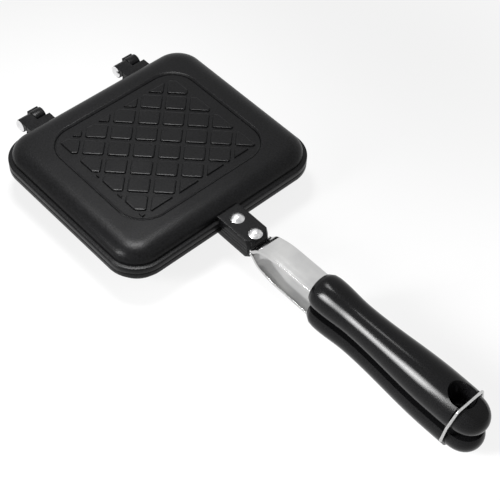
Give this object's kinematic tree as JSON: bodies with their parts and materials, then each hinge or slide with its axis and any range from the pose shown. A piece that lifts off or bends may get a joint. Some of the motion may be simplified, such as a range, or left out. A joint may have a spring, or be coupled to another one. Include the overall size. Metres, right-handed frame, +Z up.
{
  "type": "pie iron",
  "caption": "Double-sided pie iron: two hinged pans with lattice panels, steel straps, waisted grips and a wire latch.",
  "frame": {"origin": "middle of the lower pan's flat base, midway between its left and right sides and its front and back rims", "axes": "+Z up with the iron closed, +Y towards the hinges, -Y along the handles, +X to the right"},
  "size_m": [0.148, 0.3424, 0.0416],
  "materials": {
    "pan_coating": "satin dark coating",
    "strap_steel": "smooth rolled strip",
    "rivet_metal": "bright",
    "grip_plastic": "glossy moulding",
    "screw_steel": "plated",
    "pin_steel": "bright",
    "latch_wire": "bright spring wire"
  },
  "bodies": {
    "lower_half": {"lower_pan": "pan_coating", "lower_rivet_front": "rivet_metal", "lower_rivet_back": "rivet_metal", "lower_strap": "strap_steel", "lower_grip": "grip_plastic", "lower_grip_screw": "screw_steel", "hinge_pin_left": "pin_steel", "hinge_pin_right": "pin_steel"},
    "upper_half": {"upper_pan": "pan_coating", "upper_rivet_front": "rivet_metal", "upper_rivet_back": "rivet_metal", "upper_strap": "strap_steel", "upper_grip": "grip_plastic", "upper_grip_screw": "screw_steel"},
    "latch": {"wire_latch": "latch_wire"}
  },
  "joints": [
    {"name": "lid_hinge", "type": "hinge", "parent": "lower_half", "child": "upper_half", "pos_m": [0, 0.0775, 0.0132], "axis": [1, 0, 0], "range_deg": [-180, 0]},
    {"name": "latch_hinge", "type": "hinge", "parent": "lower_half", "child": "latch", "pos_m": [0, -0.2437, 0.0052], "axis": [1, 0, 0], "range_deg": [0, 100]}
  ]
}
